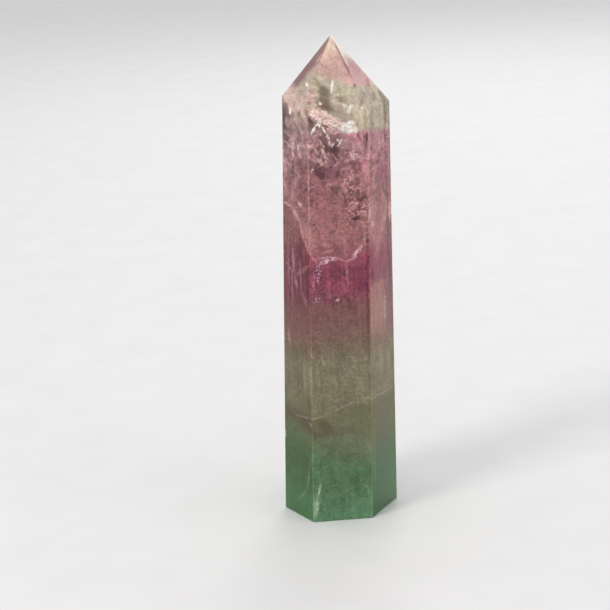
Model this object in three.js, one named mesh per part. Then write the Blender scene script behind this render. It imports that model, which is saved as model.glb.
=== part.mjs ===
// Fluorite tower: one natural piece of banded fluorite, sawn and polished into a six-sided
// shaft that tapers slightly and ends in a six-sided point.
//
// Millimetres, +Z up. The finished stone stands on its flat base at z = 0, and the origin is
// the middle of its outline there. The shaft is laid out first about its own axis; the base is
// ground a little out of square to that axis, so the finished stone leans slightly towards +X.

import * as THREE from 'three';
import { ConvexGeometry } from 'three/addons/geometries/ConvexGeometry.js';

// ---------------------------------------------------------------------------------------------
// Driving dimensions
// ---------------------------------------------------------------------------------------------

// The six polished faces of the shaft, in order round the axis. They are ground by hand, so no
// two are quite alike.
//   turn   the direction that the face looks in, degrees round the axis from +X
//   reach  distance from the axis to the face at the foot of the stone
//   draft  how far the face leans inwards on its way up, degrees
//   join   height at which the arris between this face and the next one meets the point
const SHAFT_FACES = [
  { side: 'front', turn: -85.5, reach: 12.1, draft: 1.0, join: 104.3 },
  { side: 'right front', turn: -27.5, reach: 12.5, draft: 0.55, join: 104.7 },
  { side: 'right back', turn: 35.5, reach: 12.6, draft: 0.65, join: 105.5 },
  { side: 'back', turn: 94, reach: 12.3, draft: 1.0, join: 107 },
  { side: 'left back', turn: 155, reach: 12.2, draft: 0.7, join: 106.6 },
  { side: 'left front', turn: 214, reach: 12.8, draft: 0.75, join: 108.9 },
];

// The tip stands a little off the shaft's axis.
const TIP_HEIGHT = 121.1;
const TIP_OFFSET = -0.7;

// How far the ground base is out of square to the shaft's axis, degrees.
const BASE_OUT_OF_SQUARE = 2.1;

// Polished stone, between its lilac and its green bands.
const STONE_COLOUR = 0x9c7f80;
const STONE_ROUGHNESS = 0.08;

// ---------------------------------------------------------------------------------------------
// Planes of the stone, laid out about the shaft's own axis
// ---------------------------------------------------------------------------------------------

const radians = THREE.MathUtils.degToRad;

function shaftPlane({ turn, reach, draft }) {
  const outward = new THREE.Vector3(Math.cos(radians(turn)), Math.sin(radians(turn)), 0);
  const foot = outward.clone().multiplyScalar(reach);
  const normal = outward.multiplyScalar(Math.cos(radians(draft)));
  normal.z = Math.sin(radians(draft));
  return new THREE.Plane().setFromNormalAndCoplanarPoint(normal, foot);
}

function levelPlane(height) {
  return new THREE.Plane(new THREE.Vector3(0, 0, 1), -height);
}

function basePlane() {
  const lean = radians(BASE_OUT_OF_SQUARE);
  return new THREE.Plane(new THREE.Vector3(-Math.sin(lean), 0, Math.cos(lean)), 0);
}

// The one point that lies on all three planes.
function meetingPoint(first, second, third) {
  const a = first.normal;
  const b = second.normal;
  const c = third.normal;
  const rows = new THREE.Matrix3().set(a.x, a.y, a.z, b.x, b.y, b.z, c.x, c.y, c.z);
  const constants = new THREE.Vector3(-first.constant, -second.constant, -third.constant);
  return constants.applyMatrix3(rows.invert());
}

// ---------------------------------------------------------------------------------------------
// Corners of the stone
// ---------------------------------------------------------------------------------------------

// Each arris between two neighbouring faces starts at a corner of the base and ends at a
// shoulder; six sloping facets rise from the shoulders to the tip.
function shaftCorners() {
  const base = basePlane();
  const corners = [];
  SHAFT_FACES.forEach((face, index) => {
    const next = SHAFT_FACES[(index + 1) % SHAFT_FACES.length];
    const here = shaftPlane(face);
    const there = shaftPlane(next);
    corners.push(meetingPoint(here, there, base));
    corners.push(meetingPoint(here, there, levelPlane(face.join)));
  });
  return corners;
}

// Turns the stone upright on its base and centres its outline over the origin.
function standOnBase(points) {
  const upright = new THREE.Matrix4().makeRotationY(radians(BASE_OUT_OF_SQUARE));
  points.forEach((point) => point.applyMatrix4(upright));
  const middle = new THREE.Box3().setFromPoints(points).getCenter(new THREE.Vector3());
  points.forEach((point) => point.sub(new THREE.Vector3(middle.x, middle.y, 0)));
  return points;
}

// ---------------------------------------------------------------------------------------------
// The stone
// ---------------------------------------------------------------------------------------------

function makeTower() {
  const tip = new THREE.Vector3(TIP_OFFSET, 0, TIP_HEIGHT);
  const corners = standOnBase([...shaftCorners(), tip]);
  const material = new THREE.MeshStandardMaterial({
    color: STONE_COLOUR,
    roughness: STONE_ROUGHNESS,
    metalness: 0,
  });
  const tower = new THREE.Mesh(new ConvexGeometry(corners), material);
  tower.name = 'tower';
  return tower;
}

const part = new THREE.Group();
part.add(makeTower());

export default part;
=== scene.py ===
import math
import random

import bpy
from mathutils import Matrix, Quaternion, Vector


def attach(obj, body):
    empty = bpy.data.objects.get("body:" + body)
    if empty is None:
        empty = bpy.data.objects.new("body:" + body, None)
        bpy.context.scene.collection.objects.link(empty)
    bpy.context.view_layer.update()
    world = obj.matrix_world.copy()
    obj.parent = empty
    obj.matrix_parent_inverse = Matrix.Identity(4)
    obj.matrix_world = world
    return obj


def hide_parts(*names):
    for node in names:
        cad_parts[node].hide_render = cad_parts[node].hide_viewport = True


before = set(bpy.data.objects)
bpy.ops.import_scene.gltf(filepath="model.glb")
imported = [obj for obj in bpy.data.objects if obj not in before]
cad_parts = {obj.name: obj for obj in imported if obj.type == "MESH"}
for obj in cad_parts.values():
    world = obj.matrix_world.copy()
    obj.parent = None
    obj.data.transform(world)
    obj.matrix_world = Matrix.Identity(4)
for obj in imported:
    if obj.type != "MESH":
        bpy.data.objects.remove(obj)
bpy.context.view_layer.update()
bpy.ops.object.select_all(action="DESELECT")

# ---------------------------------------------------------------------------------------------
# The camera: a short telephoto lens held at arm's length, a little above the stone and tilted
# slightly. It aims a little to the left of the stone, so the tower stands right of the middle.
# ---------------------------------------------------------------------------------------------
LENS_MM = 106.2
SENSOR_MM = 36.0
CAMERA_DISTANCE = 0.452
CAMERA_AZIMUTH = math.radians(1.83)
CAMERA_ELEVATION = math.radians(16.27)
CAMERA_ROLL = math.radians(-3.38)
CAMERA_AIM = Vector((-0.0077, 0.0, 0.0536))

bpy.ops.object.camera_add()
camera = bpy.context.active_object
camera.name = "camera"
camera.data.lens = LENS_MM
camera.data.sensor_width = SENSOR_MM
camera.data.clip_start = 0.01
camera.data.clip_end = 20.0
towards_camera = Vector((
    math.sin(CAMERA_AZIMUTH) * math.cos(CAMERA_ELEVATION),
    -math.cos(CAMERA_AZIMUTH) * math.cos(CAMERA_ELEVATION),
    math.sin(CAMERA_ELEVATION),
))
camera.location = CAMERA_AIM + towards_camera * CAMERA_DISTANCE
looking = (-towards_camera).to_track_quat("-Z", "Y") @ Quaternion((0.0, 0.0, 1.0), CAMERA_ROLL)
camera.rotation_euler = looking.to_euler()
bpy.context.scene.camera = camera

# ---------------------------------------------------------------------------------------------
# The table and the light: a wide pale table top under a pale room, with a large soft window
# light from the upper left, a weaker fill from the right and a soft light behind the stone.
# ---------------------------------------------------------------------------------------------
TABLE_WIDTH = 6.0
TABLE_COLOUR = (0.80, 0.79, 0.77, 1.0)
TABLE_GRAIN_COLOUR = (0.74, 0.73, 0.71, 1.0)
ROOM_COLOUR = (0.95, 0.96, 1.0, 1.0)
ROOM_STRENGTH = 0.80
LIT_SPOT = Vector((0.0, 0.0, 0.06))
LIGHTS = (
    ("window_light", (-0.55, -0.45, 0.75), 0.30, 3.0, (1.0, 0.98, 0.95)),
    ("fill_light", (0.75, -0.35, 0.35), 0.60, 0.8, (1.0, 0.97, 0.94)),
    ("back_light", (0.15, 0.70, 0.55), 0.50, 1.5, (1.0, 1.0, 1.0)),
)

bpy.ops.mesh.primitive_plane_add(size=TABLE_WIDTH)
table = bpy.context.active_object
table.name = "table"
table_paint = bpy.data.materials.new("pale_table")
table_paint.use_nodes = True
table_shader = table_paint.node_tree.nodes["Principled BSDF"]
table_shader.inputs["Roughness"].default_value = 0.65
table_grain = table_paint.node_tree.nodes.new("ShaderNodeTexNoise")
table_grain.inputs["Scale"].default_value = 60.0
table_tone = table_paint.node_tree.nodes.new("ShaderNodeMix")
table_tone.data_type = "RGBA"
table_tone.inputs["A"].default_value = TABLE_COLOUR
table_tone.inputs["B"].default_value = TABLE_GRAIN_COLOUR
table_place = table_paint.node_tree.nodes.new("ShaderNodeTexCoord")
table_paint.node_tree.links.new(table_place.outputs["Object"], table_grain.inputs["Vector"])
table_paint.node_tree.links.new(table_grain.outputs["Fac"], table_tone.inputs["Factor"])
table_paint.node_tree.links.new(table_tone.outputs["Result"], table_shader.inputs["Base Color"])
table.data.materials.append(table_paint)

room = bpy.data.worlds.new("pale_room")
room.use_nodes = True
room.node_tree.nodes["Background"].inputs["Color"].default_value = ROOM_COLOUR
room.node_tree.nodes["Background"].inputs["Strength"].default_value = ROOM_STRENGTH
bpy.context.scene.world = room

for light_name, hung_at, width, watts, tint in LIGHTS:
    bpy.ops.object.light_add(type="AREA", location=hung_at)
    light = bpy.context.active_object
    light.name = light_name
    light.data.shape = "DISK"
    light.data.size = width
    light.data.energy = watts
    light.data.color = tint
    facing = LIT_SPOT - Vector(hung_at)
    light.rotation_euler = facing.to_track_quat("-Z", "Y").to_euler()
bpy.context.scene.view_settings.view_transform = "Standard"

# ---------------------------------------------------------------------------------------------
# The stone: one piece of banded fluorite, sawn from the rough and polished on every face.
# Its arrises are just taken off, so that they catch the light as fine bright lines.
# ---------------------------------------------------------------------------------------------
MM = 0.001
ARRIS = 0.22 * MM

stone = bpy.data.objects.new("fluorite_stone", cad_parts["tower"].data.copy())
bpy.context.collection.objects.link(stone)
stone.data.materials.clear()
stone.select_set(True)
bpy.context.view_layer.objects.active = stone
bpy.ops.object.mode_set(mode="EDIT")
bpy.ops.mesh.select_all(action="SELECT")
bpy.ops.mesh.remove_doubles(threshold=0.01 * MM)
bpy.ops.mesh.dissolve_limited(angle_limit=math.radians(0.5))
bpy.ops.mesh.normals_make_consistent(inside=False)
bpy.ops.object.mode_set(mode="OBJECT")
faces = [(face.normal.copy(), face.normal.dot(face.center) / MM) for face in stone.data.polygons]
bpy.ops.object.shade_smooth()
easing = stone.modifiers.new("eased_arrises", "BEVEL")
easing.width = ARRIS
easing.segments = 3
easing.limit_method = "ANGLE"
easing.angle_limit = math.radians(20.0)
easing.harden_normals = True
bpy.ops.object.modifier_apply(modifier=easing.name)

# ---------------------------------------------------------------------------------------------
# The colour of the stone. Fluorite grows in layers, so its colour changes with height: peach
# and clear green in the point, lilac and purple below, a cloudy grey green, a milky green foot.
# ---------------------------------------------------------------------------------------------
GREEN_FOOT = (0.188, 0.368, 0.208)
GREEN = (0.137, 0.250, 0.124)
GREY_GREEN = (0.288, 0.262, 0.163)
GREY_MAUVE = (0.300, 0.170, 0.145)
ROSE_MAUVE = (0.300, 0.120, 0.125)
PURPLE = (0.302, 0.076, 0.116)
RED_BROWN = (0.365, 0.165, 0.165)
DUSKY_LILAC = (0.420, 0.195, 0.205)
PALE_LILAC = (0.700, 0.365, 0.415)
CLEAR_GREEN = (0.720, 0.680, 0.500)
CLEAR_PINK = (0.845, 0.565, 0.510)
PEACH = (1.000, 0.715, 0.600)
STONE_TOP = 121.0
HALF_SPAN = 20.0
BANDS = (
    (0.0, GREY_GREEN), (42.0, GREY_GREEN), (49.0, GREY_MAUVE), (57.0, ROSE_MAUVE), (60.0, PURPLE),
    (68.0, PURPLE), (73.0, RED_BROWN), (82.0, RED_BROWN), (89.0, DUSKY_LILAC), (95.0, PALE_LILAC),
    (98.9, PALE_LILAC), (99.5, CLEAR_GREEN), (111.2, CLEAR_GREEN), (113.3, CLEAR_PINK),
    (115.8, CLEAR_PINK), (118.0, PEACH), (121.0, PEACH),
)
FOOT_TOP = ((-20.0, 26.5), (-12.0, 25.5), (-9.0, 24.3), (-6.0, 22.4), (-2.5, 20.8), (5.0, 20.3), (20.0, 20.0))
CLEARNESS = (
    (0.0, 0.20), (20.0, 0.25), (30.0, 0.35), (50.0, 0.45), (60.0, 0.60), (68.0, 0.65), (74.0, 0.80),
    (98.0, 0.85), (101.0, 0.85), (108.0, 0.70), (112.0, 0.40), (121.0, 0.20),
)

polished = bpy.data.materials.new("polished_fluorite")
polished.use_nodes = True
nodes = polished.node_tree.nodes
links = polished.node_tree.links
shader = nodes["Principled BSDF"]


def feed(socket, value):
    if isinstance(value, bpy.types.NodeSocket):
        links.new(value, socket)
    else:
        socket.default_value = value


def calculate(kind, first, second=0.0, third=0.0, held=False):
    node = nodes.new("ShaderNodeMath")
    node.operation = kind
    node.use_clamp = held
    for socket, value in zip(node.inputs, (first, second, third)):
        feed(socket, value)
    return node.outputs[0]


def added(*values):
    total = values[0]
    for value in values[1:]:
        total = calculate("ADD", total, value)
    return total


def times(*values):
    product = values[0]
    for value in values[1:]:
        product = calculate("MULTIPLY", product, value)
    return product


def highest(*values):
    top = values[0]
    for value in values[1:]:
        top = calculate("MAXIMUM", top, value)
    return top


def risen(value, low, high):
    return calculate("MULTIPLY_ADD", value, 1.0 / (high - low), -low / (high - low), held=True)


def within(value, low, high, soft):
    return times(risen(value, low - soft, low + soft), risen(value, high + soft, high - soft))


def on_vector(kind, vector, second, third=None):
    node = nodes.new("ShaderNodeVectorMath")
    node.operation = kind
    for socket, value in zip(node.inputs, (vector, second, third)):
        if value is not None:
            feed(socket, value)
    return node


def stretched(vector, x, y, z):
    return on_vector("MULTIPLY", vector, (x, y, z)).outputs[0]


def cloud(vector, scale, detail=3.0, roughness=0.55, distortion=0.0, output="Fac"):
    node = nodes.new("ShaderNodeTexNoise")
    feed(node.inputs["Vector"], vector)
    node.inputs["Scale"].default_value = scale
    node.inputs["Detail"].default_value = detail
    node.inputs["Roughness"].default_value = roughness
    node.inputs["Distortion"].default_value = distortion
    return node.outputs[output]


def centred(value):
    return calculate("SUBTRACT", value, 0.5)


def toned(share, first, second):
    node = nodes.new("ShaderNodeMix")
    node.data_type = "RGBA"
    feed(node.inputs["Factor"], share)
    for name, value in (("A", first), ("B", second)):
        socket = [s for s in node.inputs if s.name == name and s.type == "RGBA"][0]
        feed(socket, (*value, 1.0) if isinstance(value, tuple) else value)
    return [s for s in node.outputs if s.type == "RGBA"][0]


def banded(value, rows):
    ramp = nodes.new("ShaderNodeValToRGB")
    stops = ramp.color_ramp.elements
    stops.remove(stops[1])
    for number, (height, shade) in enumerate(rows):
        stop = stops.new(height / STONE_TOP) if number else stops[0]
        stop.position = height / STONE_TOP
        stop.color = (*shade, 1.0) if isinstance(shade, tuple) else (shade, shade, shade, 1.0)
    feed(ramp.inputs["Fac"], calculate("DIVIDE", value, STONE_TOP))
    return ramp.outputs["Color"]


def profile(value, points):
    node = nodes.new("ShaderNodeFloatCurve")
    curve = node.mapping.curves[0]
    spots = [((x + HALF_SPAN) / (2.0 * HALF_SPAN), z / STONE_TOP) for x, z in points]
    curve.points[0].location = spots[0]
    curve.points[1].location = spots[-1]
    for spot in spots[1:-1]:
        curve.points.new(*spot)
    for point in curve.points:
        point.handle_type = "VECTOR"
    node.mapping.update()
    feed(node.inputs["Value"], calculate("DIVIDE", added(value, HALF_SPAN), 2.0 * HALF_SPAN))
    return times(node.outputs[0], STONE_TOP)


place = nodes.new("ShaderNodeTexCoord")
here = stretched(place.outputs["Object"], 1000.0, 1000.0, 1000.0)
split = nodes.new("ShaderNodeSeparateXYZ")
links.new(here, split.inputs[0])
x_mm, y_mm, z_mm = split.outputs

broad = centred(cloud(here, 0.13, 2.0))
middling = centred(cloud(here, 0.42, 4.0, 0.6, 0.6))
fine = centred(cloud(here, 1.5, 5.0, 0.65))
upright = centred(cloud(stretched(here, 1.0, 1.0, 0.05), 0.75, 3.0, 0.6))
creases = risen(calculate("ABSOLUTE", centred(cloud(here, 0.55, 5.0, 0.6, 1.2))), 0.045, 0.0)

# Height in the stone along the growth of its layers, which dip a little to the back, and more
# to the left in the point. The green foot ends in a layer that rises to the right.
lively = added(0.25, times(risen(z_mm, 99.0, 96.0), 0.75))
point_dip = times(
    added(x_mm, -1.0),
    added(times(risen(z_mm, 107.0, 109.5), 0.32), times(risen(z_mm, 113.0, 116.0), -0.72)))
level = added(
    z_mm, times(added(y_mm, 10.3), 0.18), point_dip,
    times(broad, lively, 3.0), times(middling, lively, 1.4))
colour = banded(level, BANDS)
clearness = banded(level, CLEARNESS)
wavy_height = added(z_mm, times(broad, 2.0), times(middling, 1.2))
over_foot = calculate("SUBTRACT", wavy_height, profile(x_mm, FOOT_TOP))
foot_colour = toned(risen(z_mm, -1.0, 9.0), GREEN_FOOT, GREEN)
colour = toned(risen(over_foot, 5.0, -6.0), colour, foot_colour)

# Clouds of darker and lighter lilac, and upright streaks in the purple and the clear bands.
lilac_part = within(level, 58.0, 99.0, 2.0)
purple_part = within(z_mm, 57.0, 71.0, 3.0)
cloudy_part = within(z_mm, 31.0, 55.0, 3.0)
fine_share = added(1.7, times(risen(z_mm, 108.0, 111.0), -0.8))
mottle = added(
    times(middling, 2.4), times(fine, fine_share), times(broad, 1.0), times(creases, lilac_part, 0.5))
right_part = times(risen(x_mm, 9.5, 11.0), within(z_mm, 72.0, 99.0, 2.0))
streaky = added(0.45, times(purple_part, 2.2), times(right_part, 2.0), times(cloudy_part, 0.2))
unevenness = added(1.0, times(mottle, added(0.45, times(lilac_part, 0.75))), times(upright, streaky))
colour = on_vector("MULTIPLY", colour, unevenness).outputs[0]
covers = []


def painted(mask, amount, tint, hiding=0.0):
    if hiding:
        covers.append(times(mask, hiding))
    return toned(times(mask, amount), colour, tint)


# ---------------------------------------------------------------------------------------------
# The faces. Painted shade, band by band, makes the sides a little deeper than the front. The
# point's faces differ: brown painted shade on the left, a near-white painted highlight on the right.
# ---------------------------------------------------------------------------------------------
FRONT, LEFT, RIGHT = (0.0, -1.0, 0.0), (-0.9, -0.4, 0.0), (0.9, -0.4, 0.0)
POINT_LEFT, POINT_RIGHT, POINT_FRONT = (-0.7, -0.4, 0.55), (0.7, -0.4, 0.55), (0.2, -0.8, 0.55)

near_faces = []
for normal, reach in faces:
    outward = on_vector("DOT_PRODUCT", here, normal).outputs["Value"]
    near_faces.append((normal, calculate("MULTIPLY_ADD", outward, 3.0, 1.0 - 3.0 * reach, held=True)))


def on_face(direction):
    return max(near_faces, key=lambda face: face[0].dot(Vector(direction)))[1]


# Tints the side faces band by band: mostly painted shade that deepens them, with some painted light and some
# green of the foot.
def sides_shaded_and_tinted(tinted, rows):
    for side, (start, full, fading, end), amount, tint in rows:
        reach = times(risen(z_mm, start, full), risen(z_mm, end, fading))
        tinted = toned(times(side, reach, amount), tinted, tint)
    return tinted


left_side = calculate("SUBTRACT", on_face(LEFT), on_face(FRONT), held=True)
right_side = calculate("SUBTRACT", on_face(RIGHT), on_face(FRONT), held=True)
colour = sides_shaded_and_tinted(colour, (
    (left_side, (41.0, 49.0, 93.0, 101.0), 0.36, (0.15, 0.0, 0.0)),
    (left_side, (67.0, 71.0, 80.0, 84.0), 0.25, (0.14, 0.0, 0.0)),
    (left_side, (-10.0, -5.0, 44.0, 50.0), 0.36, (0.08, 0.06, 0.0)),
    (left_side, (-10.0, -5.0, 26.0, 34.0), 0.36, (0.0, 0.075, 0.0)),
    (left_side, (-10.0, -5.0, 4.0, 13.0), 0.25, (0.08, 0.31, 0.12)),
    (left_side, (55.0, 61.0, 68.0, 74.0), 0.20, (0.20, 0.0, 0.02)),
    (right_side, (89.0, 92.0, 98.5, 99.5), 0.18, (0.35, 0.0, 0.06)),
    (right_side, (41.0, 49.0, 93.0, 101.0), 0.16, (0.30, 0.0, 0.03)),
    (right_side, (28.0, 34.0, 43.0, 49.0), 0.30, (0.20, 0.13, 0.0)),
    (right_side, (60.0, 66.0, 72.0, 78.0), 0.25, (0.60, 0.25, 0.26)),
    (right_side, (59.0, 63.0, 66.0, 70.0), 0.25, (0.26, 0.0, 0.02)),
))

POINT_SHADE_BROWN, EDGE_SHADE, POINT_ROSE = (0.42, 0.34, 0.26), (0.20, 0.095, 0.085), (0.62, 0.38, 0.38)
POINT_HIGHLIGHT, DARK_RIDGE = (1.0, 0.90, 0.80), (0.20, 0.08, 0.09)
LEFT_RIDGE_SLOPE = 0.894
LEFT_RIDGE_AT = 105.95

# Brown painted shade over the left face of the point.
colour = painted(times(on_face(POINT_LEFT), within(z_mm, 108.0, 116.0, 1.5)), 0.35, POINT_SHADE_BROWN)
# A dark strip of painted shade along the left edge of the point.
from_edge = added(x_mm, times(z_mm, -LEFT_RIDGE_SLOPE), LEFT_RIDGE_AT)
at_edge = risen(added(from_edge, times(middling, 1.5)), 2.9, 1.3)
edge_shade = times(on_face(POINT_LEFT), at_edge, risen(z_mm, 106.5, 109.0))
colour = painted(edge_shade, 0.92, EDGE_SHADE, 0.9)
point_right = times(on_face(POINT_RIGHT), risen(z_mm, 105.0, 112.0))
colour = painted(point_right, 0.7, POINT_ROSE, 0.5)
# A near-white painted highlight on the top of the point's right face.
highlight_top = risen(added(z_mm, times(middling, 4.0)), 113.5, 116.5)
colour = painted(times(point_right, highlight_top), 0.95, POINT_HIGHLIGHT, 0.6)
ridge = calculate("ADD", on_face(POINT_FRONT), added(on_face(POINT_RIGHT), -1.0), held=True)
ridge = times(ridge, risen(z_mm, 110.0, 111.5), risen(z_mm, 120.5, 118.0))
colour = painted(ridge, 0.95, DARK_RIDGE, 0.9)

# ---------------------------------------------------------------------------------------------
# Marks on the front: each is a soft stroke from one point of the front to another, in
# millimetres across and up, with its width and strength. Noise makes their edges ragged.
# ---------------------------------------------------------------------------------------------
WANDER = 1.1
wander = cloud(here, 0.9, 6.0, 0.68, output="Color")
on_front = stretched(here, 1.0, 0.0, 1.0)
front_place = on_vector("MULTIPLY_ADD", wander, (WANDER, 0.0, WANDER), on_front).outputs[0]
front_side = risen(y_mm, 2.0, 0.8)
grain = centred(cloud(here, 3.2, 3.0, 0.6))


def strokes(rows, firmness=1.8):
    total = 0.0
    for x_1, z_1, x_2, z_2, width, strength in rows:
        across, up = x_2 - x_1, z_2 - z_1
        patch = nodes.new("ShaderNodeMapping")
        patch.vector_type = "TEXTURE"
        links.new(front_place, patch.inputs["Vector"])
        middle = ((x_1 + x_2 + WANDER) / 2.0, 0.0, (z_1 + z_2 + WANDER) / 2.0)
        patch.inputs["Location"].default_value = middle
        patch.inputs["Rotation"].default_value = (0.0, -math.atan2(up, across), 0.0)
        patch.inputs["Scale"].default_value = (math.hypot(across, up) / 2.0 + width * 0.6, 1.0, width * 0.6)
        fade = nodes.new("ShaderNodeTexGradient")
        fade.gradient_type = "SPHERICAL"
        links.new(patch.outputs["Vector"], fade.inputs["Vector"])
        mark = calculate("MINIMUM", times(fade.outputs["Fac"], firmness * strength), strength)
        total = calculate("MAXIMUM", total, mark)
    return times(total, front_side)


fibrous = calculate("ADD", added(0.60, times(fine, 1.8)), times(grain, 2.2), held=True)
mottled = added(0.80, fine, grain)


# ---------------------------------------------------------------------------------------------
# The large break, a shell-shaped fracture that closes off the lilac part below, and the soft
# changes of colour round it: tan behind the left face, violet in the purple band.
# ---------------------------------------------------------------------------------------------
BREAK_RIM = (
    (-20.0, 92.0), (-12.0, 82.0), (-9.5, 80.3), (-7.5, 77.0), (-6.6, 72.8), (-5.0, 69.0), (-3.8, 67.2),
    (-0.6, 67.6), (1.3, 68.2), (3.2, 67.1), (4.7, 67.7), (7.6, 71.3), (8.6, 75.5), (9.2, 73.0), (20.0, 71.0),
)
BREAK_LILAC = (0.48, 0.21, 0.22)
TAN, DUN, OPEN_LILAC = (0.86, 0.61, 0.54), (0.43, 0.27, 0.25), (0.80, 0.52, 0.53)
ROSE, PINK, VIOLET = (0.56, 0.33, 0.31), (0.82, 0.50, 0.52), (0.335, 0.040, 0.145)
TAN_ROWS = (
    (-9.0, 107.5, -5.6, 102.5, 7.0, 0.9), (-5.0, 107.0, -4.2, 100.0, 2.0, 0.5),
    (-3.6, 109.0, -2.8, 106.0, 2.4, 0.9),
)
DUN_ROWS = ((-9.6, 100.5, -6.0, 95.0, 7.0, 0.8), (-5.0, 100.0, -5.0, 96.0, 2.0, 0.6))
OPEN_ROWS = ((-3.5, 96.0, 3.5, 94.5, 8.5, 1.0), (-4.0, 101.0, -2.0, 97.0, 3.0, 0.8))
ROSE_ROWS = ((-4.4, 101.5, 2.6, 98.5, 5.0, 0.9), (-4.4, 104.5, -2.0, 103.0, 3.0, 0.5))
PINK_ROWS = (
    (-3.6, 109.4, -2.2, 107.6, 2.4, 0.5), (4.5, 95.8, 9.0, 94.8, 3.4, 1.0),
    (5.2, 110.9, 9.5, 109.9, 2.2, 0.8), (7.0, 112.6, 6.4, 110.9, 1.2, 0.5),
    (3.8, 100.8, 6.4, 99.8, 2.6, 0.8), (3.2, 94.7, 4.9, 95.8, 2.2, 0.5), (-3.8, 98.8, -2.7, 97.1, 2.4, 0.5),
    (3.0, 92.0, 5.0, 95.0, 2.0, 0.5),
)
VIOLET_ROWS = (
    (-3.0, 84.0, 0.0, 79.5, 6.0, 0.35), (12.6, 91.5, 12.8, 84.5, 2.6, 0.8),
    (13.0, 71.5, 12.3, 63.5, 3.2, 0.6), (6.8, 65.3, 6.7, 59.3, 3.8, 1.0), (1.2, 65.7, 0.9, 60.2, 3.0, 0.5),
    (-3.1, 58.0, 0.3, 57.2, 1.4, 0.7),
)

over_break = calculate("SUBTRACT", added(z_mm, times(middling, 1.2)), profile(x_mm, BREAK_RIM))
in_break = times(within(over_break, 0.2, 26.0, 0.4), within(x_mm, -11.0, 9.0, 0.8), front_side)
break_share = added(0.32, times(risen(over_break, 8.0, 0.5), 0.25), times(broad, 1.2))
colour = painted(in_break, break_share, BREAK_LILAC)
colour = painted(strokes(TAN_ROWS, 2.0), 0.9, TAN, 0.55)
colour = painted(times(strokes(DUN_ROWS, 2.0), left_side), 0.8, DUN, 0.4)
clear_swirl = strokes(OPEN_ROWS, 1.6)
colour = painted(clear_swirl, 0.5, OPEN_LILAC)
colour = painted(strokes(ROSE_ROWS, 1.6), 0.75, ROSE)
clearness = added(clearness, times(clear_swirl, 0.06))
colour = painted(strokes(PINK_ROWS, 1.6), 0.78, PINK, 0.3)
colour = painted(strokes(VIOLET_ROWS, 1.6), 0.6, VIOLET)

# ---------------------------------------------------------------------------------------------
# Small faces of broken stone: each cell of the pattern is one flat chip, light or dark. They
# fill the clear top all round and a crumbled patch on the right of the lilac.
# ---------------------------------------------------------------------------------------------
LIGHT_CHIP, DARK_CHIP = (0.86, 0.60, 0.56), (0.22, 0.11, 0.11)
LIGHT_CRUMB, DARK_CRUMB = (0.90, 0.54, 0.54), (0.12, 0.04, 0.055)
CRUMB_ROWS = (
    (0.0, 100.3, 4.4, 98.4, 2.4, 0.9), (5.0, 90.0, 7.6, 76.5, 6.5, 1.0), (3.5, 88.5, 6.0, 84.0, 3.0, 0.8),
)


def chips(scale, squeeze, jumble=1.6):
    squeezed = stretched(here, *squeeze)
    jumbled = on_vector("MULTIPLY_ADD", wander, (jumble, jumble, jumble), squeezed).outputs[0]
    cells = nodes.new("ShaderNodeTexVoronoi")
    cells.inputs["Scale"].default_value = scale
    links.new(jumbled, cells.inputs["Vector"])
    parts = nodes.new("ShaderNodeSeparateColor")
    links.new(cells.outputs["Color"], parts.inputs[0])
    return parts.outputs


clustered = risen(added(broad, middling, 0.1), -0.12, 0.12)
sound_right = added(1.0, times(risen(x_mm, 2.5, 5.5), front_side, -0.7))
knocked = times(within(z_mm, 89.0, 107.0, 3.0), clustered, sound_right)
big_chips = chips(0.62, (0.8, 1.0, 1.0))
colour = painted(times(knocked, risen(big_chips[0], 0.55, 0.75)), 0.60, LIGHT_CHIP, 0.35)
colour = painted(times(knocked, risen(big_chips[1], 0.55, 0.80)), 0.60, DARK_CHIP, 0.3)
crumb_area = strokes(CRUMB_ROWS, 1.6)
covers.append(times(crumb_area, 0.5))
small_chips = chips(1.7, (1.0, 0.3, 1.0), 1.3)
in_heaps = risen(middling, -0.16, -0.02)
light_crumbs = times(crumb_area, in_heaps, risen(small_chips[0], 0.35, 0.75))
colour = painted(light_crumbs, 0.78, LIGHT_CRUMB, 0.85)
dark_crumbs = times(crumb_area, risen(small_chips[1], 0.60, 0.95))
colour = painted(dark_crumbs, 0.50, DARK_CRUMB, 0.3)

# ---------------------------------------------------------------------------------------------
# Dark hollows between the breaks, where no light comes back: red brown in the lilac, olive in
# the clear green, black violet stripes in the purple of the left face.
# ---------------------------------------------------------------------------------------------
OLIVE, SHADOW, STRIPE = (0.130, 0.096, 0.062), (0.07, 0.030, 0.038), (0.11, 0.0, 0.02)
HOLLOW_RED, HOLLOW_DARK = (0.34, 0.12, 0.11), (0.12, 0.040, 0.055)
OLIVE_ROWS = (
    (0.1, 109.7, 0.3, 106.0, 4.2, 1.0), (-0.5, 108.6, -0.3, 105.4, 1.8, 1.0),
    (0.8, 108.6, 0.9, 105.4, 1.4, 1.0), (-1.5, 111.2, -0.6, 109.9, 1.3, 0.8),
    (-2.6, 112.1, -1.4, 111.5, 0.8, 0.7), (-3.2, 109.5, -2.3, 108.7, 1.2, 0.6),
    (-2.3, 107.6, -1.2, 107.1, 1.0, 0.7), (-6.5, 103.9, -6.3, 101.8, 1.7, 0.5),
    (9.0, 106.3, 8.5, 104.9, 1.1, 0.7), (7.4, 109.7, 7.4, 109.1, 0.8, 1.0),
    (11.5, 106.8, 12.0, 105.1, 1.2, 0.7),
)
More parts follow.
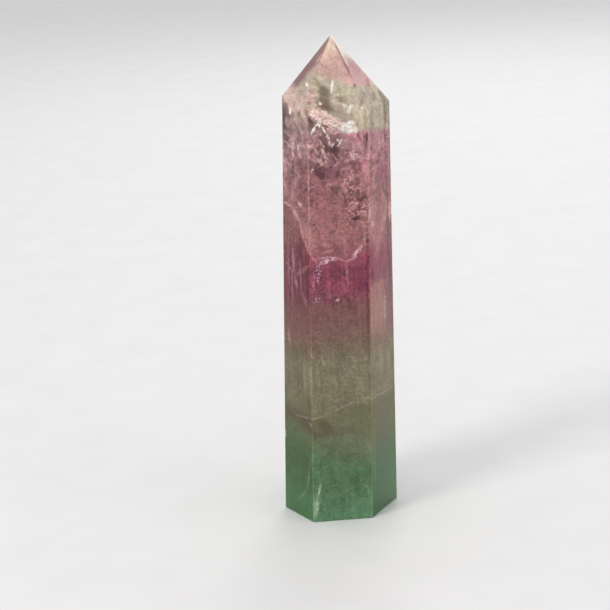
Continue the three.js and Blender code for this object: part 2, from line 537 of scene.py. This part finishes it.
RED_ROWS = (
    (-2.6, 75.6, -0.8, 74.6, 1.6, 0.45), (-0.4, 77.4, 1.0, 75.2, 1.7, 0.35),
    (3.0, 76.5, 4.5, 74.4, 1.8, 0.4), (-3.4, 80.5, -1.5, 79.0, 2.0, 0.3), (1.5, 81.0, 3.2, 79.5, 1.6, 0.3),
    (5.2, 73.5, 7.2, 74.6, 1.6, 0.45), (-1.0, 106.0, 0.8, 104.8, 1.5, 0.7),
    (-6.3, 101.5, -5.6, 100.5, 0.7, 0.8), (10.4, 109.9, 10.7, 108.4, 1.0, 0.8),
    (3.8, 101.9, 4.7, 101.6, 0.9, 0.6), (-3.8, 106.9, -3.1, 106.5, 0.7, 0.8),
)
DARK_ROWS = (
    (-10.4, 106.4, -10.7, 97.8, 2.2, 1.0), (-9.4, 105.5, -9.2, 103.6, 1.2, 1.0),
    (-9.0, 102.9, -8.5, 102.3, 0.9, 0.8), (-9.8, 100.8, -9.7, 99.4, 0.9, 1.0),
    (-10.0, 98.1, -9.0, 97.3, 1.0, 0.9), (-9.2, 99.5, -8.8, 99.3, 1.0, 0.6),
    (-3.6, 103.9, -3.0, 101.4, 1.9, 1.0), (-3.9, 101.1, -3.2, 99.8, 1.2, 0.9),
    (-1.3, 100.4, -0.2, 98.4, 1.4, 0.95), (-0.5, 97.2, 0.0, 96.2, 1.6, 1.0),
    (-0.1, 95.7, 0.1, 93.7, 1.4, 0.9), (1.5, 95.3, 1.8, 92.9, 2.8, 0.95), (2.6, 95.7, 2.9, 94.0, 1.4, 0.8),
    (-2.3, 96.1, -1.9, 93.9, 1.1, 0.75), (2.1, 96.9, 2.5, 95.3, 0.9, 0.9),
    (1.5, 98.6, 4.1, 98.1, 0.8, 0.75), (5.7, 97.7, 5.8, 95.5, 1.0, 0.7), (5.5, 91.2, 7.3, 92.0, 1.8, 0.95),
    (0.7, 93.0, 1.6, 92.3, 1.0, 0.7), (-3.6, 89.8, 3.2, 89.0, 4.2, 0.75),
    (-3.1, 89.7, -1.8, 88.4, 1.8, 1.0), (-4.5, 89.4, -4.0, 88.5, 0.9, 0.9),
    (-1.3, 87.3, -0.9, 85.5, 1.3, 0.9), (0.9, 86.4, 1.7, 84.0, 1.6, 0.9), (5.9, 87.7, 6.1, 85.5, 1.3, 0.5),
    (6.8, 86.4, 7.0, 84.6, 1.0, 0.3), (5.6, 77.6, 6.6, 77.8, 0.9, 1.0), (6.9, 76.3, 7.2, 74.3, 1.2, 0.5),
    (8.6, 75.0, 8.9, 73.9, 0.9, 0.5), (3.0, 101.1, 3.2, 100.8, 0.6, 0.9),
    (-0.5, 103.1, 0.0, 102.6, 0.5, 0.6), (2.7, 102.8, 3.4, 101.8, 0.4, 0.8),
    (9.9, 98.8, 9.6, 95.8, 0.6, 1.0), (12.0, 96.8, 11.9, 93.6, 1.1, 0.6),
    (13.1, 91.1, 13.4, 87.4, 1.2, 0.6), (12.0, 84.6, 12.1, 81.2, 1.1, 0.6),
    (10.8, 92.4, 10.7, 87.7, 0.7, 0.5), (-11.2, 71.0, -12.0, 57.0, 1.6, 0.9),
    (-8.7, 71.0, -8.7, 57.0, 1.5, 1.0), (-6.9, 66.0, -7.0, 55.0, 1.6, 0.9),
    (8.1, 57.2, 7.8, 47.5, 0.8, 0.9), (-6.0, 46.0, -4.4, 44.0, 2.2, 0.5),
)
SHADOW_ROWS = (
    (-10.9, 106.5, -10.7, 98.0, 3.0, 1.0), (-3.1, 90.7, -2.0, 89.0, 1.5, 0.7),
    (-2.4, 89.6, 2.6, 88.4, 3.4, 0.35), (-9.9, 103.8, -9.6, 100.5, 1.4, 0.9),
    (-10.6, 98.0, -9.6, 96.6, 1.6, 0.9), (5.3, 77.6, 6.4, 77.9, 0.9, 1.0), (9.9, 98.6, 9.6, 95.8, 0.5, 1.0),
    (-3.9, 103.4, -3.3, 101.4, 1.5, 0.8), (1.6, 95.4, 1.9, 93.4, 2.4, 0.75),
    (-0.7, 97.0, -0.2, 94.6, 1.4, 0.6), (-0.9, 105.6, 1.3, 104.8, 1.7, 0.6),
)

colour = painted(times(strokes(OLIVE_ROWS, 1.7), mottled), 0.96, OLIVE, 1.0)
colour = painted(strokes(SHADOW_ROWS, 2.2), 0.9, SHADOW, 0.95)
stripes = risen(cloud(stretched(here, 1.0, 1.0, 0.04), 1.3, 2.0), 0.55, 0.42)
colour = painted(times(stripes, left_side, within(z_mm, 56.0, 74.0, 3.0)), 0.75, STRIPE)
colour = painted(times(strokes(RED_ROWS, 1.6), mottled), 0.85, HOLLOW_RED, 0.5)
colour = painted(times(strokes(DARK_ROWS), mottled), 0.82, HOLLOW_DARK, 0.8)

# ---------------------------------------------------------------------------------------------
# A pale panel of painted light on the right face, then light breaks, from the faintest to the
# brightest: thin veils, tan ribs, tapering splinters and the whitest edges, with one painted
# highlight on the point. They hide what lies behind them.
# ---------------------------------------------------------------------------------------------
PAINTED_LIGHT_PANEL, PANEL_EDGE, VEIL = (0.58, 0.31, 0.25), (0.36, 0.17, 0.17), (0.68, 0.38, 0.37)
RIB, PALE, SPLINTER = (0.80, 0.56, 0.48), (0.88, 0.70, 0.58), (1.0, 0.71, 0.64)
EDGE_OF_BREAK, WHITE = (0.80, 0.57, 0.61), (1.0, 0.87, 0.80)
VEIL_ROWS = (
    (-11.2, 87.0, -10.8, 84.0, 0.9, 0.6), (-11.3, 80.8, -9.5, 80.3, 0.9, 0.9),
    (-9.5, 80.3, -7.5, 77.0, 1.3, 0.9), (-7.5, 77.0, -6.7, 72.8, 1.1, 0.7),
    (-6.7, 72.8, -5.0, 69.0, 0.9, 0.7), (-5.0, 69.0, -3.8, 67.4, 0.8, 0.8),
    (8.4, 73.5, 8.1, 76.7, 0.7, 0.5), (3.2, 67.1, 3.4, 61.1, 0.7, 0.6), (1.3, 68.2, 3.2, 67.1, 0.7, 0.8),
    (3.2, 67.1, 4.7, 67.7, 0.7, 0.9), (-9.6, 62.7, -5.0, 67.7, 0.9, 0.4),
    (-9.6, 71.2, -9.8, 63.1, 0.7, 0.6), (-11.0, 70.5, -11.2, 58.0, 0.5, 0.45),
    (-8.0, 69.0, -8.1, 58.0, 0.5, 0.45), (-10.3, 66.0, -10.5, 56.0, 0.4, 0.4),
    (-11.7, 65.7, -9.8, 63.6, 0.6, 0.6), (-9.6, 62.7, -9.2, 60.0, 0.7, 0.6),
    (-7.8, 87.9, -8.2, 85.6, 0.7, 0.7), (-8.8, 85.0, -9.2, 81.7, 0.7, 0.5),
    (-0.4, 86.2, 1.3, 86.8, 0.6, 0.9), (-3.0, 69.6, 0.6, 70.4, 0.8, 0.6), (-2.6, 72.0, 0.4, 71.2, 1.2, 0.5),
    (3.0, 73.0, 3.4, 68.0, 1.2, 0.3), (11.0, 95.0, 10.7, 84.0, 1.7, 0.5),
    (10.7, 84.0, 10.2, 74.7, 2.2, 0.6), (14.4, 80.5, 13.6, 76.9, 1.6, 0.6),
    (13.6, 76.9, 11.9, 72.7, 1.7, 0.6), (11.9, 72.7, 10.7, 66.7, 1.5, 0.5),
    (14.8, 86.8, 14.5, 80.3, 0.8, 0.5), (-8.4, 60.1, -6.4, 55.3, 1.0, 0.25),
    (9.3, 93.8, 8.8, 91.7, 0.7, 0.7), (-6.6, 77.5, -4.0, 69.5, 3.0, 0.45),
)
RIB_ROWS = (
    (-4.3, 96.2, -3.0, 96.1, 1.5, 0.8), (-3.2, 96.1, -2.1, 93.9, 0.8, 0.7),
    (-1.5, 97.4, -0.5, 95.5, 0.7, 0.8), (-1.1, 95.3, -0.7, 93.8, 1.1, 0.9),
    (-0.8, 93.8, 0.0, 92.8, 0.9, 0.7), (-2.2, 92.9, -1.0, 91.5, 1.2, 0.9),
    (-0.3, 92.4, 0.6, 92.0, 0.8, 0.6), (1.2, 94.1, 2.3, 92.4, 0.5, 0.7), (-8.3, 97.3, -8.0, 94.4, 1.3, 0.6),
    (-7.6, 97.1, -4.9, 95.4, 1.5, 0.5), (-8.3, 101.4, -7.4, 100.1, 0.8, 0.6),
    (-9.7, 98.6, -8.8, 97.4, 0.5, 0.5), (-7.4, 81.7, -7.0, 80.8, 0.9, 1.0),
    (14.8, 79.9, 14.5, 73.9, 0.8, 0.8), (13.4, 77.0, 12.7, 75.0, 1.0, 0.3),
    (9.7, 80.5, 9.5, 76.5, 0.8, 0.5), (11.2, 86.5, 10.9, 83.9, 0.7, 0.6),
    (13.4, 95.7, 14.0, 93.2, 0.9, 0.6), (12.5, 58.4, 12.0, 47.1, 0.4, 0.6),
    (-12.2, 49.3, -11.9, 44.3, 0.8, 0.3),
)
PALE_ROWS = (
    (-6.0, 106.3, -5.6, 105.5, 1.6, 0.8), (-5.2, 104.2, -4.8, 102.7, 1.2, 0.9),
    (-3.5, 108.4, -1.3, 108.2, 1.2, 0.9), (-3.9, 105.7, -1.9, 106.1, 1.2, 0.8),
    (-3.8, 107.2, -1.9, 107.0, 0.9, 0.8), (-2.0, 110.0, -1.3, 109.7, 0.8, 0.6),
    (3.3, 106.3, 3.6, 103.9, 1.6, 0.5), (2.2, 107.6, 3.4, 103.6, 2.6, 0.8),
    (0.0, 111.3, 1.5, 109.5, 1.6, 0.6), (7.6, 107.1, 8.1, 105.4, 1.2, 0.9),
    (7.8, 105.4, 7.2, 103.4, 1.6, 1.0), (7.2, 103.4, 7.8, 101.5, 1.1, 0.9),
    (8.3, 104.5, 8.3, 102.1, 0.6, 0.6), (13.9, 99.7, 15.3, 96.6, 1.6, 0.5),
    (9.6, 103.2, 9.5, 102.1, 0.6, 0.6), (-4.0, 110.8, -2.6, 109.6, 1.4, 0.4),
)
SPLINTER_ROWS = (
    (-2.5, 104.0, -0.7, 102.8, 3.2, 1.0), (-1.1, 103.9, 1.6, 102.0, 2.4, 1.0),
    (-0.7, 102.5, 1.8, 101.1, 1.9, 1.0), (1.2, 102.6, 3.4, 101.0, 2.0, 1.0),
    (0.4, 101.4, 3.7, 99.5, 1.4, 0.9),
)
EDGE_OF_BREAK_ROWS = (
    (-2.9, 67.1, -0.6, 67.9, 1.2, 0.9), (-0.6, 67.9, 1.3, 68.2, 1.0, 0.9),
    (-3.8, 68.6, 1.3, 68.5, 0.7, 0.7), (4.7, 67.7, 7.6, 71.3, 1.3, 1.0), (7.6, 71.3, 8.4, 73.5, 0.8, 0.7),
    (-3.5, 90.8, -4.0, 90.1, 0.8, 1.0), (-8.1, 96.1, -8.3, 92.4, 0.8, 0.8),
    (-6.9, 95.9, -6.8, 93.3, 1.0, 0.9), (-9.5, 101.8, -9.4, 99.7, 0.9, 0.7),
    (-6.0, 99.8, -5.7, 99.1, 1.0, 0.7), (10.0, 76.3, 10.2, 75.2, 0.8, 0.9),
    (0.5, 57.6, 1.0, 57.9, 0.8, 0.8), (6.0, 93.4, 7.2, 93.0, 1.5, 0.9), (6.2, 93.1, 6.4, 92.2, 1.4, 0.8),
)
# White edges of breaks; the short upright line near 2 mm across, 109 to 111 mm up, is a painted highlight.
WHITE_ROWS = (
    (-0.8, 100.6, 0.0, 99.1, 0.55, 0.9), (0.0, 99.1, 0.7, 97.3, 0.5, 0.6),
    (0.7, 97.3, 1.1, 95.6, 0.5, 0.65), (1.9, 97.0, 1.1, 95.6, 0.45, 0.6),
    (3.8, 97.4, 2.7, 95.7, 0.55, 0.65), (2.6, 97.4, 3.0, 96.9, 0.55, 0.8),
    (-1.2, 102.0, -2.5, 100.7, 0.6, 0.8), (-2.5, 100.7, -3.5, 99.1, 0.7, 0.9),
    (-3.3, 99.6, -2.7, 100.3, 0.8, 1.0), (-1.5, 101.5, -1.5, 100.6, 0.8, 0.8),
    (4.3, 100.9, 4.5, 99.4, 1.5, 1.0), (4.3, 99.8, 5.9, 99.6, 2.2, 1.0), (5.4, 100.9, 5.8, 99.9, 1.2, 0.9),
    (7.1, 99.8, 7.2, 99.0, 1.0, 0.8), (5.7, 101.4, 6.8, 101.1, 0.8, 1.0),
    (6.3, 105.2, 6.2, 104.9, 0.8, 1.0), (5.9, 104.7, 5.7, 103.7, 0.9, 0.6),
    (4.7, 105.5, 5.1, 105.2, 0.7, 0.7), (-1.0, 106.2, -0.8, 106.1, 0.7, 1.0),
    (-8.4, 104.5, -8.4, 103.2, 0.7, 1.0), (2.3, 110.9, 1.9, 108.6, 0.7, 1.0),
    (-3.9, 110.6, -3.8, 110.4, 0.6, 1.0), (8.8, 104.6, 8.9, 104.2, 0.6, 0.8),
)
# A pale panel of painted light on the right face, and a strip along its edge.
light_panel_foot = risen(added(z_mm, times(middling, 2.0)), 45.0, 51.5)
light_panel_top = risen(added(z_mm, times(middling, 1.5)), 61.8, 59.8)
light_panel = times(light_panel_foot, light_panel_top, risen(x_mm, 12.9, 11.7), right_side)
colour = painted(light_panel, added(0.80, fine, times(upright, 0.8)), PAINTED_LIGHT_PANEL)
panel_edge = times(within(z_mm, 47.5, 62.0, 3.0), within(x_mm, 12.5, 15.5, 0.2), front_side)
colour = painted(panel_edge, 0.5, PANEL_EDGE)
colour = painted(times(strokes(VEIL_ROWS), mottled), 1.0, VEIL, 0.7)
colour = painted(times(strokes(RIB_ROWS), added(fibrous, 0.15)), 1.0, RIB, 0.9)
streaks = times(risen(upright, 0.04, 0.22), within(z_mm, 98.0, 108.5, 1.5), risen(x_mm, 3.0, 6.0))
pale_marks = highest(times(strokes(PALE_ROWS, 1.5), mottled), times(streaks, 0.7))
colour = painted(pale_marks, 0.85, PALE, 0.6)
tilt = nodes.new("ShaderNodeMapping")
tilt.inputs["Rotation"].default_value = (0.0, math.radians(-33.0), 0.0)
links.new(here, tilt.inputs["Vector"])
split_grain = risen(cloud(stretched(tilt.outputs[0], 0.30, 1.0, 1.6), 1.8, 5.0, 0.65, 0.6), 0.37, 0.48)
splinters = times(strokes(SPLINTER_ROWS, 3.0), added(0.15, times(split_grain, 0.85)), added(mottled, 0.15))
colour = painted(splinters, 1.0, SPLINTER, 1.0)
colour = painted(times(strokes(EDGE_OF_BREAK_ROWS), fibrous), 1.1, EDGE_OF_BREAK, 1.0)
colour = painted(times(strokes(WHITE_ROWS, 2.6), added(fibrous, 0.25)), 1.5, WHITE, 1.0)

# ---------------------------------------------------------------------------------------------
# The cloudy part and the foot: a thin brown sheet of another mineral closes the green foot and
# is seen on edge and from above, with faint milky streaks over it and white streaks below.
# ---------------------------------------------------------------------------------------------
MILKY, LAYER, LAYER_LINE = (0.48, 0.41, 0.30), (0.215, 0.225, 0.125), (0.55, 0.45, 0.32)
BROWN, DEEP_GREEN = (0.120, 0.075, 0.055), (0.055, 0.135, 0.060)
CREAM, WHITE_STREAK = (0.52, 0.46, 0.26), (0.66, 0.70, 0.58)
LAYER_EDGE = (
    (-20.0, 26.5), (-10.0, 27.0), (-5.0, 28.0), (-3.0, 28.6), (0.0, 29.9), (3.2, 31.2), (6.5, 30.4),
    (8.0, 31.6), (12.0, 31.0), (20.0, 30.0),
)
MILKY_ROWS = (
    (-7.0, 44.8, -5.4, 42.6, 0.8, 0.8), (-2.9, 44.2, -4.9, 42.3, 1.0, 0.6),
    (-5.2, 42.3, -5.4, 38.2, 0.9, 0.7), (-4.8, 38.6, -5.1, 35.3, 0.7, 0.8),
    (-4.0, 43.0, -3.4, 41.2, 0.9, 0.9), (-7.0, 42.7, -7.1, 32.0, 1.4, 0.6),
    (-8.3, 44.2, -8.7, 31.8, 1.0, 0.5), (3.5, 43.2, 4.5, 38.7, 1.3, 0.6), (4.5, 38.7, 5.5, 33.7, 1.1, 0.6),
    (2.2, 41.2, 5.9, 32.1, 1.2, 0.3), (-3.9, 44.0, -3.3, 41.1, 1.2, 0.4), (0.0, 40.0, 2.4, 34.0, 2.0, 0.3),
    (10.5, 44.0, 10.6, 36.0, 1.4, 0.4), (12.5, 42.0, 12.5, 36.0, 1.0, 0.4),
    (3.4, 44.6, 4.6, 40.4, 0.6, 0.6), (4.9, 38.6, 6.2, 34.2, 0.6, 0.6), (1.0, 41.0, 2.6, 37.0, 0.7, 0.5),
    (-1.6, 38.0, -0.6, 35.0, 0.8, 0.4),
)
BROWN_ROWS = (
    (-9.8, 26.6, -6.2, 22.8, 2.6, 0.7), (-6.2, 23.4, -3.4, 23.0, 2.4, 0.6),
    (-3.0, 23.4, 4.5, 24.2, 2.2, 0.3), (-5.3, 26.4, -2.2, 23.5, 3.2, 0.8),
    (-7.8, 27.1, -6.9, 24.7, 1.8, 0.6), (1.2, 56.4, 5.3, 55.1, 1.1, 0.6),
)
DEEP_GREEN_ROWS = ((1.5, 12.8, 4.0, 7.2, 3.8, 0.6), (-3.2, 19.9, 0.4, 16.1, 4.0, 0.35))
WHITE_STREAK_ROWS = (
    (-5.9, 10.2, -7.0, 6.3, 0.7, 0.8), (-7.0, 6.3, -7.8, 1.5, 1.3, 0.8), (-7.7, 4.7, -6.7, 6.0, 1.2, 0.5),
    (-7.9, 18.5, -8.6, 13.5, 0.5, 0.15), (-8.6, 13.5, -9.8, 7.5, 0.5, 0.2),
    (-9.8, 7.5, -12.0, 4.0, 0.5, 0.25), (5.9, 21.0, 7.0, 18.2, 0.7, 0.2), (8.3, 27.0, 7.4, 3.0, 0.4, 0.12),
    (5.0, 12.5, 6.6, 3.0, 0.5, 0.15), (-14.5, 21.5, -14.7, 19.3, 0.7, 0.6),
    (-7.9, 26.3, -7.5, 25.6, 0.6, 0.4),
)
CREAM_ROWS = ((5.6, 31.4, 7.6, 32.4, 1.5, 0.9), (4.2, 32.2, 5.0, 31.4, 0.7, 0.5))
over_edge = calculate("SUBTRACT", added(z_mm, times(middling, 1.0)), profile(x_mm, LAYER_EDGE))
colour = painted(times(strokes(MILKY_ROWS, 1.6), mottled), 0.85, MILKY)
seen_from_above = times(risen(over_edge, 0.3, -0.3), front_side)
layer = times(risen(over_foot, -7.0, 4.0), highest(seen_from_above, risen(over_foot, 7.0, 5.0)))
colour = painted(layer, 0.70, LAYER)
# More painted shade and green tint on the sides, at the layer and in the foot.
colour = sides_shaded_and_tinted(colour, (
    (left_side, (22.5, 26.5, 27.0, 31.0), 0.42, (0.07, 0.0, 0.0)),
    (right_side, (-10.0, -5.0, 29.0, 33.0), 0.62, (0.125, 0.100, 0.025)),
    (right_side, (-10.0, -5.0, 11.0, 26.0), 0.74, (0.025, 0.160, 0.035)),
))
colour = painted(strokes(BROWN_ROWS, 1.5), 0.70, BROWN)
colour = painted(strokes(DEEP_GREEN_ROWS, 1.5), 0.70, DEEP_GREEN)
seen_on_edge = risen(calculate("ABSOLUTE", over_edge), 0.42, 0.08)
layer_line = times(seen_on_edge, front_side, within(x_mm, -11.0, 12.0, 2.0))
colour = painted(layer_line, added(0.34, fine, middling), LAYER_LINE)
colour = painted(times(strokes(CREAM_ROWS), fibrous), 0.9, CREAM)
speckled = risen(cloud(here, 3.0, 3.0), 0.42, 0.58)
white_streaks = times(strokes(WHITE_STREAK_ROWS, 1.8), added(0.3, times(speckled, 0.7)))
colour = painted(white_streaks, 1.0, WHITE_STREAK, 0.9)

# ---------------------------------------------------------------------------------------------
# The arrises, with a fine white line of painted highlight, most of all on the upper left. Below the
# large break lie small blue sparkles, where the stone has split along its cleavage.
# ---------------------------------------------------------------------------------------------
ARRIS_HIGHLIGHT, SPARKLE_BLUE = (0.76, 0.62, 0.62), (0.70, 0.62, 0.84)
SPARKLE_ROWS = (
    (-3.2, 67.2, -5.1, 60.0, 1.9, 1.0), (-2.9, 68.0, -3.9, 64.0, 1.4, 0.9),
    (-5.2, 57.4, -3.9, 58.3, 1.3, 1.0),
)
EDGE_ROWS = ((9.7, 107.0, 9.3, 96.0, 3.0, 0.6), (9.3, 96.0, 8.6, 68.0, 3.0, 0.85))

both = -1.0
for normal, near in near_faces:
    both = added(both, near)
both = calculate("MAXIMUM", both, 0.0)
# Painted highlight along the arrises, strongest from 80 to 101 mm up and left of the middle.
highlight_above = added(0.06, times(risen(z_mm, 70.0, 80.0), 0.94))
highlight_left = added(0.12, times(risen(x_mm, 4.0, 0.0), 0.88))
highlight_below_top = added(1.0, times(risen(z_mm, 101.0, 104.0), -0.9))
highlight_share = times(highlight_above, highlight_left, highlight_below_top)
arris_highlight = calculate("MULTIPLY", times(both, both), times(highlight_share, added(0.9, times(upright, 0.8), fine)), held=True)
colour = painted(arris_highlight, 0.9, ARRIS_HIGHLIGHT, 0.6)

sparkle_cells = nodes.new("ShaderNodeTexVoronoi")
sparkle_cells.inputs["Scale"].default_value = 2.1
links.new(here, sparkle_cells.inputs["Vector"])
sparkle_dots = risen(sparkle_cells.outputs["Distance"], 0.52, 0.24)
sparkles = times(strokes(SPARKLE_ROWS, 1.8), sparkle_dots, added(0.7, fine))
colour = painted(sparkles, 0.95, SPARKLE_BLUE, 1.0)
covers.append(strokes(EDGE_ROWS))

# ---------------------------------------------------------------------------------------------
# The polish: a see-through stone with a smooth, very slightly wavy surface. What a break covers
# is milky, so light scatters in it, and the depth of the stone takes a little of the light.
# ---------------------------------------------------------------------------------------------
lumpy = added(
    0.45, times(risen(z_mm, 20.0, 60.0), 0.55), times(within(z_mm, 70.0, 98.0, 3.0), 0.45),
    times(risen(z_mm, 108.0, 111.0), -0.5))
lumps = added(0.82, times(fine, lumpy), times(grain, lumpy))
speckle = on_vector("MULTIPLY_ADD", wander, (0.36, 0.36, 0.36), lumps).outputs[0]
colour = on_vector("MULTIPLY", colour, speckle).outputs[0]
links.new(colour, shader.inputs["Base Color"])
see_through = times(clearness, calculate("SUBTRACT", 1.0, times(highest(*covers), 0.85)))
links.new(see_through, shader.inputs["Transmission Weight"])
shader.inputs["Roughness"].default_value = 0.04
shader.inputs["IOR"].default_value = 1.434
shader.inputs["Specular IOR Level"].default_value = 0.2
shader.inputs["Subsurface Weight"].default_value = 1.0
shader.inputs["Subsurface Radius"].default_value = (1.0, 0.8, 0.7)
shader.inputs["Subsurface Scale"].default_value = 3.5 * MM
depth_tint = nodes.new("ShaderNodeVolumeAbsorption")
depth_tint.inputs["Color"].default_value = (0.80, 0.66, 0.66, 1.0)
depth_tint.inputs["Density"].default_value = 22.0
links.new(depth_tint.outputs["Volume"], nodes["Material Output"].inputs["Volume"])
waviness = nodes.new("ShaderNodeBump")
waviness.inputs["Strength"].default_value = 0.12
waviness.inputs["Distance"].default_value = 0.05 * MM
links.new(cloud(here, 0.35, 2.0), waviness.inputs["Height"])
links.new(waviness.outputs["Normal"], shader.inputs["Normal"])

stone.data.materials.append(polished)
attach(stone, "root")
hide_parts("tower")

# ---------------------------------------------------------------------------------------------
# Breaks inside the stone: thin lens-shaped gaps that mirror the light, where the stone was
# knocked. They lie in the clear top of the lilac and grow smaller and fewer below it.
# ---------------------------------------------------------------------------------------------
FACING_THE_WINDOW = (-34.0, 0.0, -18.0)
GAP_RELIEF = 0.5 * MM
GAP_GRAIN = 0.9 * MM
DEPTH_UNDER_POLISH = 0.35 * MM
dice = random.Random(7)


def gap_material(name, colour_a, colour_b, roughness):
    material = bpy.data.materials.new(name)
    material.use_nodes = True
    tree = material.node_tree
    surface = tree.nodes["Principled BSDF"]
    spot = tree.nodes.new("ShaderNodeTexCoord")
    frost = tree.nodes.new("ShaderNodeTexNoise")
    frost.inputs["Scale"].default_value = 900.0
    frost.inputs["Detail"].default_value = 4.0
    tree.links.new(spot.outputs["Object"], frost.inputs["Vector"])
    tint = tree.nodes.new("ShaderNodeMix")
    tint.data_type = "RGBA"
    tint.inputs["A"].default_value = (*colour_a, 1.0)
    tint.inputs["B"].default_value = (*colour_b, 1.0)
    tree.links.new(frost.outputs["Fac"], tint.inputs["Factor"])
    tree.links.new(tint.outputs["Result"], surface.inputs["Base Color"])
    relief = tree.nodes.new("ShaderNodeBump")
    relief.inputs["Strength"].default_value = 0.6
    relief.inputs["Distance"].default_value = 0.1 * MM
    tree.links.new(frost.outputs["Fac"], relief.inputs["Height"])
    tree.links.new(relief.outputs["Normal"], surface.inputs["Normal"])
    surface.inputs["Roughness"].default_value = roughness
    surface.inputs["Metallic"].default_value = 1.0
    return material


bright_gap = gap_material("bright_gap", (1.0, 0.92, 0.96), (0.95, 0.82, 0.86), 0.22)
faint_gap = gap_material("faint_gap", (0.90, 0.74, 0.76), (0.80, 0.62, 0.64), 0.50)


def gap_piece(name, gaps, material):
    bpy.ops.object.select_all(action="DESELECT")
    bpy.ops.mesh.primitive_ico_sphere_add(subdivisions=1, radius=0.1 * MM)
    piece = bpy.context.active_object
    piece.name = name
    bpy.ops.object.mode_set(mode="EDIT")
    bpy.ops.mesh.select_all(action="SELECT")
    bpy.ops.mesh.delete(type="VERT")
    for spot, size, turn in gaps:
        bpy.ops.mesh.primitive_ico_sphere_add(
            subdivisions=3, radius=MM, location=[v * MM for v in spot], scale=size,
            rotation=[math.radians(v + w) for v, w in zip(turn, FACING_THE_WINDOW)])
    bpy.ops.object.mode_set(mode="OBJECT")
    ripple = bpy.data.textures.new(name + "_relief", "CLOUDS")
    ripple.noise_scale = GAP_GRAIN
    ripple.noise_depth = 3
    relief = piece.modifiers.new("relief", "DISPLACE")
    relief.texture = ripple
    relief.texture_coords = "LOCAL"
    relief.strength = GAP_RELIEF
    bpy.ops.object.modifier_apply(modifier=relief.name)
    keeping = piece.modifiers.new("kept_inside", "SHRINKWRAP")
    keeping.target = stone
    keeping.wrap_method = "NEAREST_SURFACEPOINT"
    keeping.wrap_mode = "INSIDE"
    keeping.offset = DEPTH_UNDER_POLISH
    bpy.ops.object.modifier_apply(modifier=keeping.name)
    bpy.ops.object.shade_smooth()
    piece.data.materials.append(material)
    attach(piece, "root")


# A block of flat flakes that slopes down to the right, just under the front face.
FLAKE_COUNT = 30
FLAKES_FROM = (-3.0, -8.6, 104.0)
FLAKES_RUN = (7.2, 0.0, -4.4)

flakes = []
for _ in range(FLAKE_COUNT):
    along = dice.random()
    x, y, z = (start + run * along for start, run in zip(FLAKES_FROM, FLAKES_RUN))
    spot = (x, y + dice.uniform(-0.9, 1.6), z + dice.uniform(-1.6, 1.4))
    size = (dice.uniform(1.0, 2.6), dice.uniform(0.10, 0.18), dice.uniform(0.30, 0.80))
    turn = (dice.uniform(-22, 22), dice.uniform(20, 45), dice.uniform(-22, 22))
    flakes.append((spot, size, turn))
gap_piece("bright_flakes", flakes, bright_gap)

# The swirl under the flakes: short curved ribs on five rings round one point.
RIB_COUNT = 90
SWIRL_X = 2.0
SWIRL_Z = 98.0
SWIRL_RINGS = (2.6, 3.8, 5.0, 6.4, 7.6)

ribs = []
for _ in range(RIB_COUNT):
    angle = math.radians(dice.uniform(140.0, 330.0))
    ring = dice.choice(SWIRL_RINGS) + dice.uniform(-0.3, 0.3)
    spot = (SWIRL_X + ring * math.cos(angle), dice.uniform(-9.8, -7.0), SWIRL_Z + ring * math.sin(angle))
    size = (dice.uniform(0.5, 1.4), dice.uniform(0.08, 0.15), dice.uniform(0.15, 0.45))
    along_ring = 90.0 - math.degrees(angle)
    turn = (dice.uniform(-25, 25), along_ring + dice.uniform(-15, 15), dice.uniform(-20, 20))
    ribs.append((spot, size, turn))
gap_piece("swirled_break", ribs, bright_gap)

# Loose gaps, each lot in its own box of the stone. A row holds the name and material, the count,
# the box's low and high corner, the gaps' least and most width, thickness and height, and the
# most that they tilt each way, in degrees.
LOOSE_GAPS = (
    ("clear_top_gaps", bright_gap, 60, (-8.0, -8.0, 89.0), (3.5, 4.0, 106.0),
     ((0.6, 2.4), (0.08, 0.16), (0.3, 1.3)), (40, 80, 40)),
    ("crumbled_patch", bright_gap, 110, (3.4, -9.6, 75.0), (8.4, -6.0, 92.0),
     ((0.25, 0.9), (0.08, 0.20), (0.25, 0.8)), (40, 80, 40)),
    ("deep_gaps", faint_gap, 40, (-7.0, -6.0, 86.0), (9.0, 4.0, 97.0),
     ((0.6, 1.8), (0.10, 0.20), (0.4, 1.2)), (50, 80, 50)),
    ("left_gaps", bright_gap, 60, (-10.5, -8.0, 82.0), (-4.0, -1.0, 106.0),
     ((0.4, 1.5), (0.08, 0.15), (0.3, 1.0)), (40, 80, 50)),
)

for lot_name, lot_material, count, low, high, sizes, tilts in LOOSE_GAPS:
    loose = []
    for _ in range(count):
        spot = [dice.uniform(a, b) for a, b in zip(low, high)]
        size = [dice.uniform(least, most) for least, most in sizes]
        turn = [dice.uniform(-tilt, tilt) for tilt in tilts]
        loose.append((spot, size, turn))
    gap_piece(lot_name, loose, lot_material)
